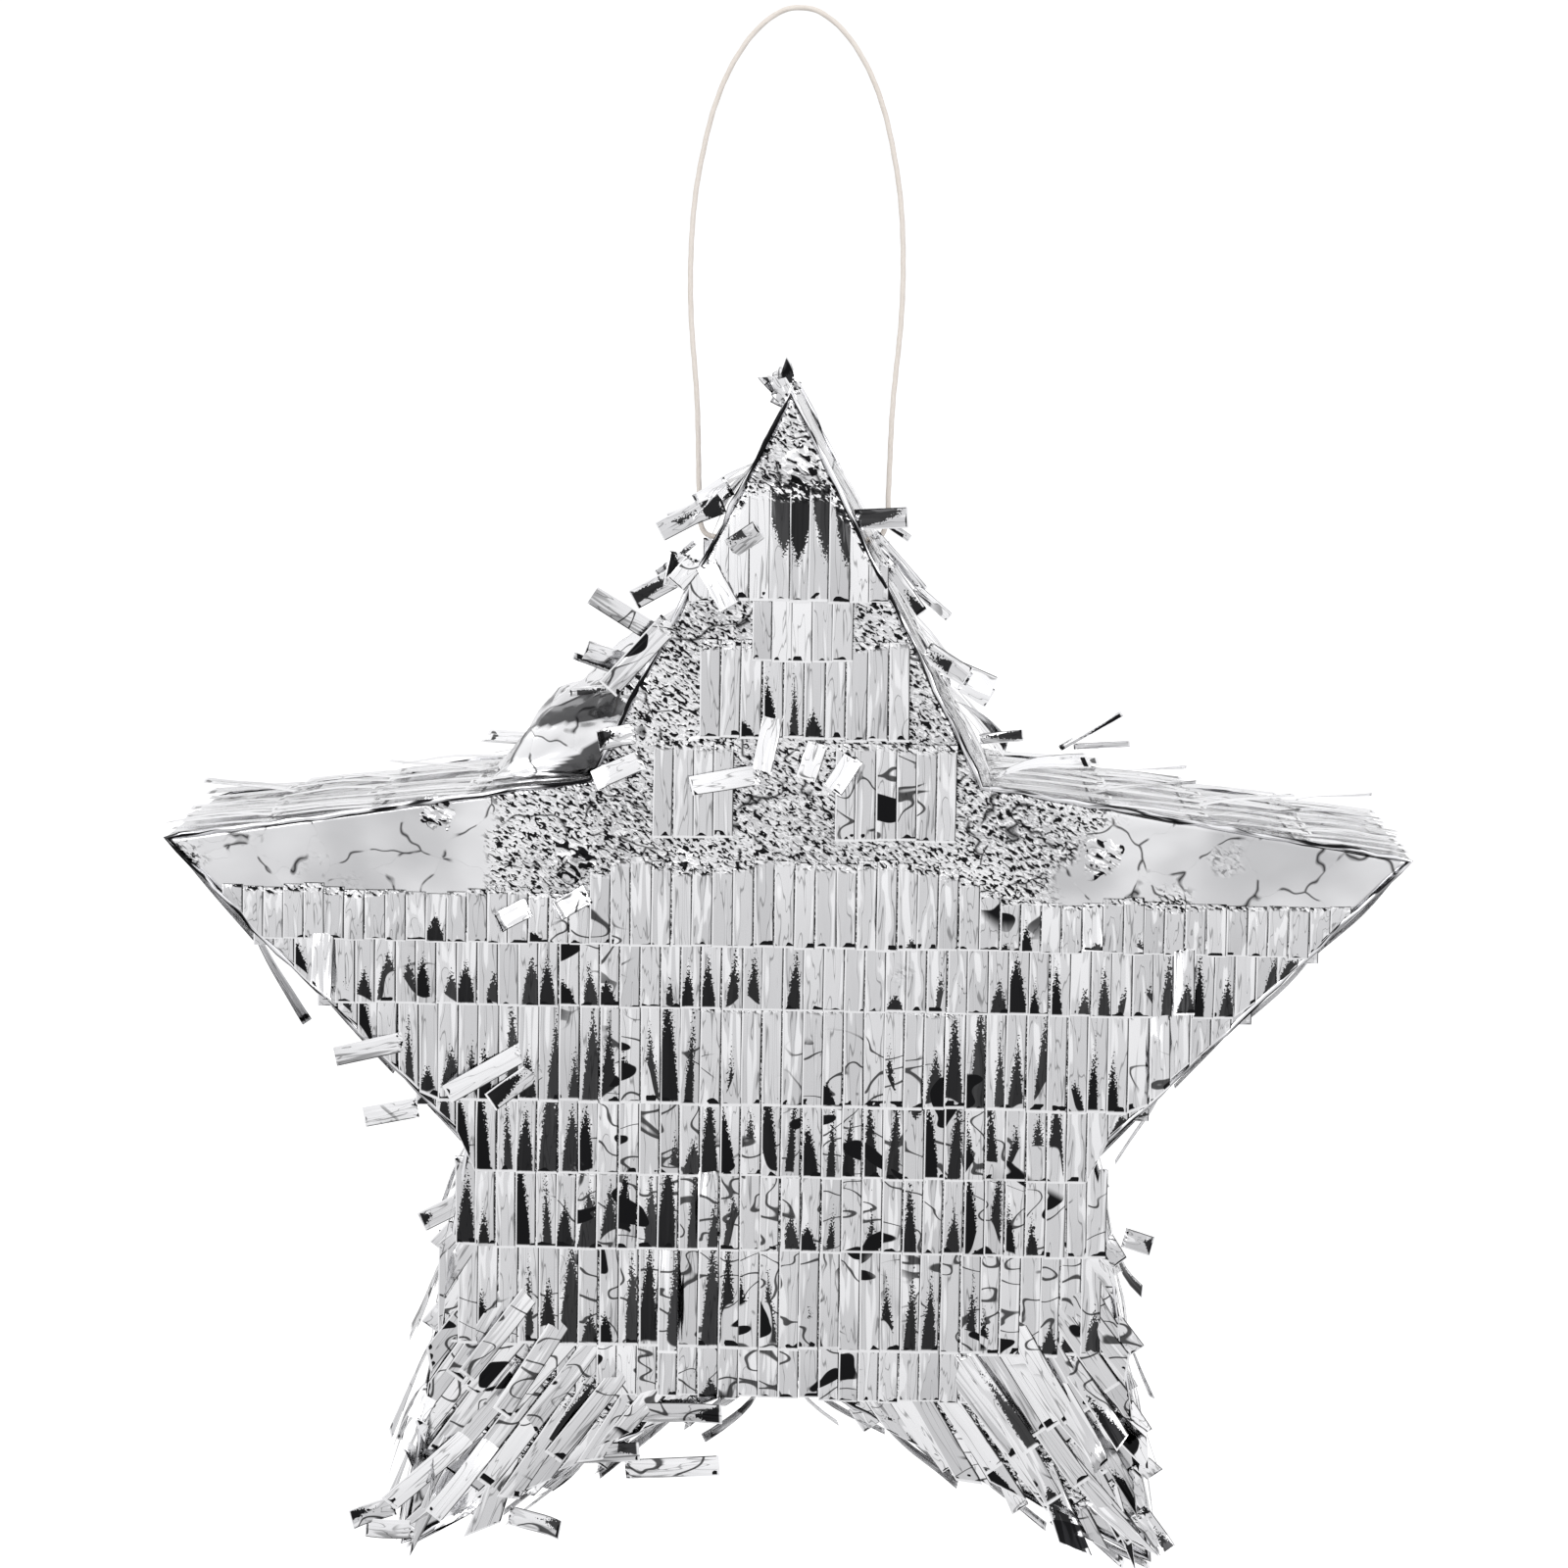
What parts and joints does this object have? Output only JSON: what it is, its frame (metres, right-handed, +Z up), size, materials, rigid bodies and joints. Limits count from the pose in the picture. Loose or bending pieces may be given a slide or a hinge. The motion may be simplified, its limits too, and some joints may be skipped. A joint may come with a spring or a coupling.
{
  "type": "pinata",
  "caption": "Five-pointed star pinata: hollow cardboard box covered in cut silver foil fringe, with a fill flap, hung by a cord loop.",
  "frame": {"origin": "the point of the hook that the pinata hangs on, on the inside of the cord loop's crown, with the star centred under it", "axes": "+Z up, +X to the right as seen from the front, the star's front face towards -Y"},
  "size_m": [0.3296, 0.0784, 0.4154],
  "materials": {
    "corrugated_board": "matte",
    "wall_card": "matte",
    "paper_tape": "satin",
    "foil_skin": "gloss",
    "foil_fringe": "polished",
    "cord": "matte"
  },
  "bodies": {
    "loop": {"hanging_loop": "cord", "loop_knot": "cord"},
    "star": {"front_panel": "corrugated_board", "back_panel": "corrugated_board", "top_arm_wall": "wall_card", "right_arm_wall": "wall_card", "right_leg_wall": "wall_card", "left_leg_wall": "wall_card", "left_arm_wall": "wall_card", "upper_right_corner_tape": "paper_tape", "lower_right_corner_tape": "paper_tape", "bottom_corner_tape": "paper_tape", "lower_left_corner_tape": "paper_tape", "upper_left_corner_tape": "paper_tape", "right_hole_patch": "paper_tape", "left_hole_patch": "paper_tape", "front_foil": "foil_skin", "back_foil": "foil_skin", "side_foil": "foil_skin", "front_fringe_01": "foil_fringe", "front_fringe_02": "foil_fringe", "front_fringe_03": "foil_fringe", "front_fringe_04": "foil_fringe", "front_fringe_05": "foil_fringe", "front_fringe_06": "foil_fringe", "front_fringe_07": "foil_fringe", "front_fringe_08": "foil_fringe", "front_fringe_09": "foil_fringe", "front_fringe_10": "foil_fringe", "front_left_leg_fringe_1": "foil_fringe", "front_left_leg_fringe_2": "foil_fringe", "front_right_leg_fringe_1": "foil_fringe", "front_right_leg_fringe_2": "foil_fringe", "back_fringe_01": "foil_fringe", "back_fringe_02": "foil_fringe", "back_fringe_03": "foil_fringe", "back_fringe_04": "foil_fringe", "back_fringe_05": "foil_fringe", "back_fringe_06": "foil_fringe", "back_fringe_07": "foil_fringe", "back_fringe_08": "foil_fringe", "back_fringe_09": "foil_fringe", "back_fringe_10": "foil_fringe", "back_left_leg_fringe_1": "foil_fringe", "back_left_leg_fringe_2": "foil_fringe", "back_right_leg_fringe_1": "foil_fringe", "back_right_leg_fringe_2": "foil_fringe", "top_arm_right_fringe": "foil_fringe", "right_arm_top_fringe": "foil_fringe", "right_arm_under_fringe": "foil_fringe", "right_leg_outer_fringe": "foil_fringe", "right_leg_inner_fringe": "foil_fringe", "left_leg_inner_fringe": "foil_fringe", "left_leg_outer_fringe": "foil_fringe", "left_arm_under_fringe": "foil_fringe", "left_arm_top_fringe": "foil_fringe", "top_arm_left_fringe": "foil_fringe"},
    "flap": {"fill_flap": "wall_card", "flap_foil": "foil_skin", "flap_fringe": "foil_fringe"}
  },
  "joints": [
    {"name": "star_swing", "type": "hinge", "parent": "loop", "child": "star", "pos_m": [0, 0, -0.14025], "axis": [1, 0, 0], "range_deg": [-85, 85]},
    {"name": "flap_fold", "type": "hinge", "parent": "star", "child": "flap", "pos_m": [-0.028, 0, -0.15658], "axis": [0, 1, 0], "range_deg": [0, 100]}
  ]
}
